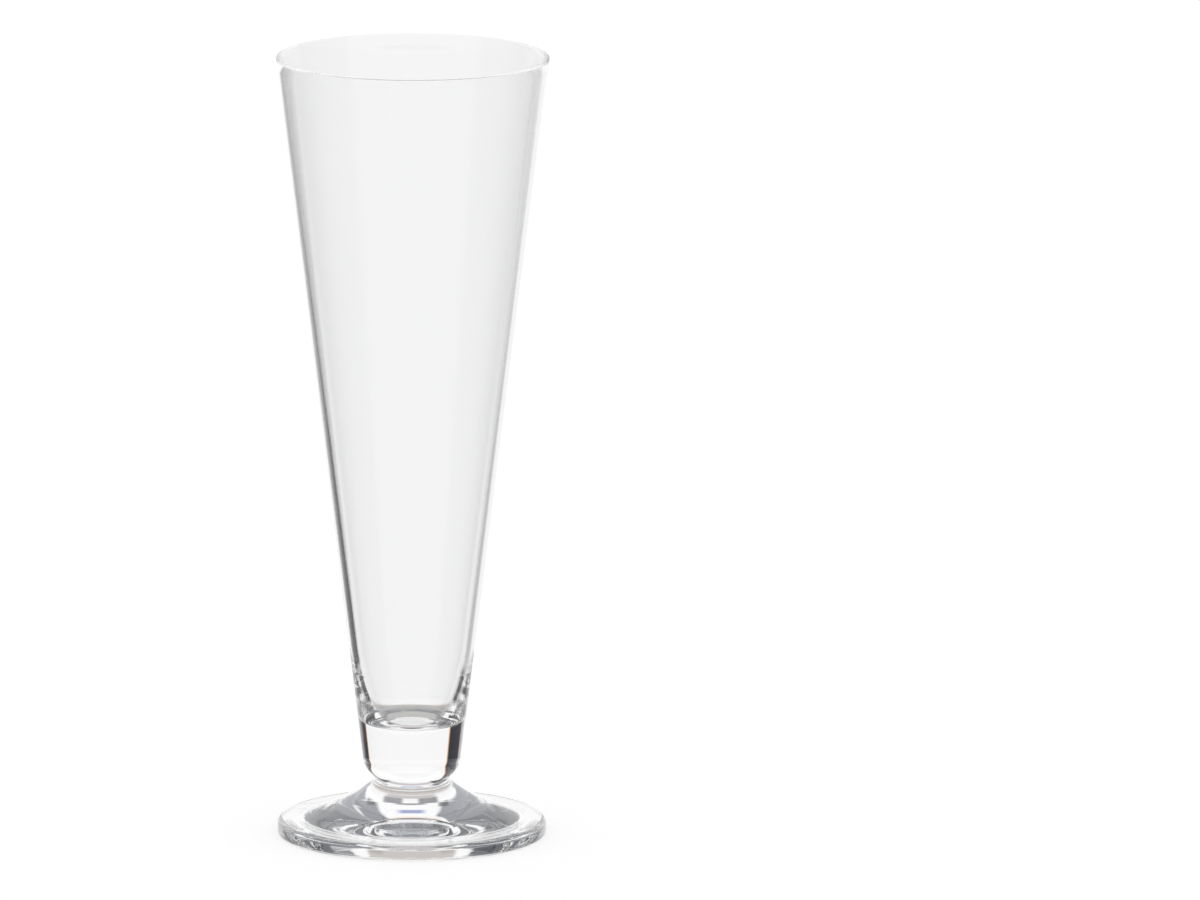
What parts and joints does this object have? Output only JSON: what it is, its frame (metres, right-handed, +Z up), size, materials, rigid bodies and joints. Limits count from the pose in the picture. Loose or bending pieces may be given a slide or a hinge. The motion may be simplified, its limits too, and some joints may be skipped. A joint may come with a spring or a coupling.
{
  "type": "pilsner glass",
  "caption": "Tall conical clear glass for pale beer, with a short solid stem and a round foot that stands on a table.",
  "frame": {"origin": "centre of the underside of the foot, on the table", "axes": "+Z up along the axis of the glass, from the foot to the rim; X and Y are level and alike"},
  "size_m": [0.081, 0.081, 0.235],
  "materials": {
    "bowl_glass": "polished, thin blown wall",
    "stem_glass": "polished, solid",
    "foot_glass": "polished, pressed"
  },
  "bodies": {
    "root": {"bowl": "bowl_glass", "stem": "stem_glass", "foot": "foot_glass"}
  },
  "joints": []
}
